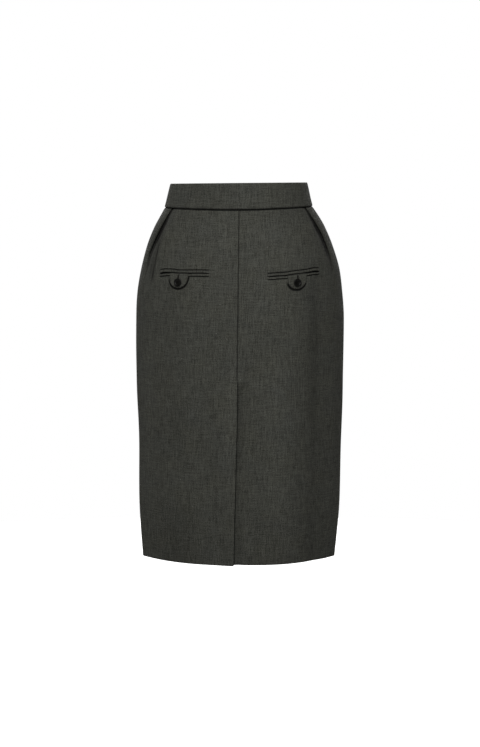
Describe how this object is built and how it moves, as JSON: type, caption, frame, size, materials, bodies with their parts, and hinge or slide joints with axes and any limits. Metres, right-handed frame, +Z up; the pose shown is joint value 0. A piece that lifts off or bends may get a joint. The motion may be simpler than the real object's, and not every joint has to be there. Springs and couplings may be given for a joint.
{
  "type": "pencil skirt",
  "caption": "Knee-length pencil skirt in worn form, with a deep contoured waistband, buttoned welt pockets, soft side pleats and a lapped back vent; hollow and open at waist and hem.",
  "frame": {"origin": "centre of the waist opening, halfway down the waistband", "axes": "+Z up along the skirt, +Y to the wearer's front, -X to the wearer's left"},
  "size_m": [0.395, 0.238, 0.7171],
  "materials": {
    "charcoal_wool": "matt charcoal wool with a fine uneven weave",
    "black_button": "glossy black resin",
    "zip_tape": "woven tape with a nylon coil",
    "dark_metal": "dark plated metal"
  },
  "bodies": {
    "skirt": {"back_panel_left": "charcoal_wool", "back_panel_right": "charcoal_wool", "front_panel": "charcoal_wool", "waistband_back": "charcoal_wool", "waistband_front": "charcoal_wool", "welt_upper_left": "charcoal_wool", "welt_lower_left": "charcoal_wool", "welt_upper_right": "charcoal_wool", "welt_lower_right": "charcoal_wool", "tab_left": "charcoal_wool", "tab_right": "charcoal_wool", "button_left": "black_button", "button_right": "black_button", "zip_tape": "zip_tape", "zip_slider": "dark_metal"},
    "zip_pull": {"zip_pull": "dark_metal"}
  },
  "joints": [
    {"name": "zip_pull_swing", "type": "hinge", "parent": "skirt", "child": "zip_pull", "pos_m": [-0.13043, 0.02345, 0.01248], "axis": [0.3446, 0.9388, 0.0031], "range_deg": [0, 150]}
  ]
}
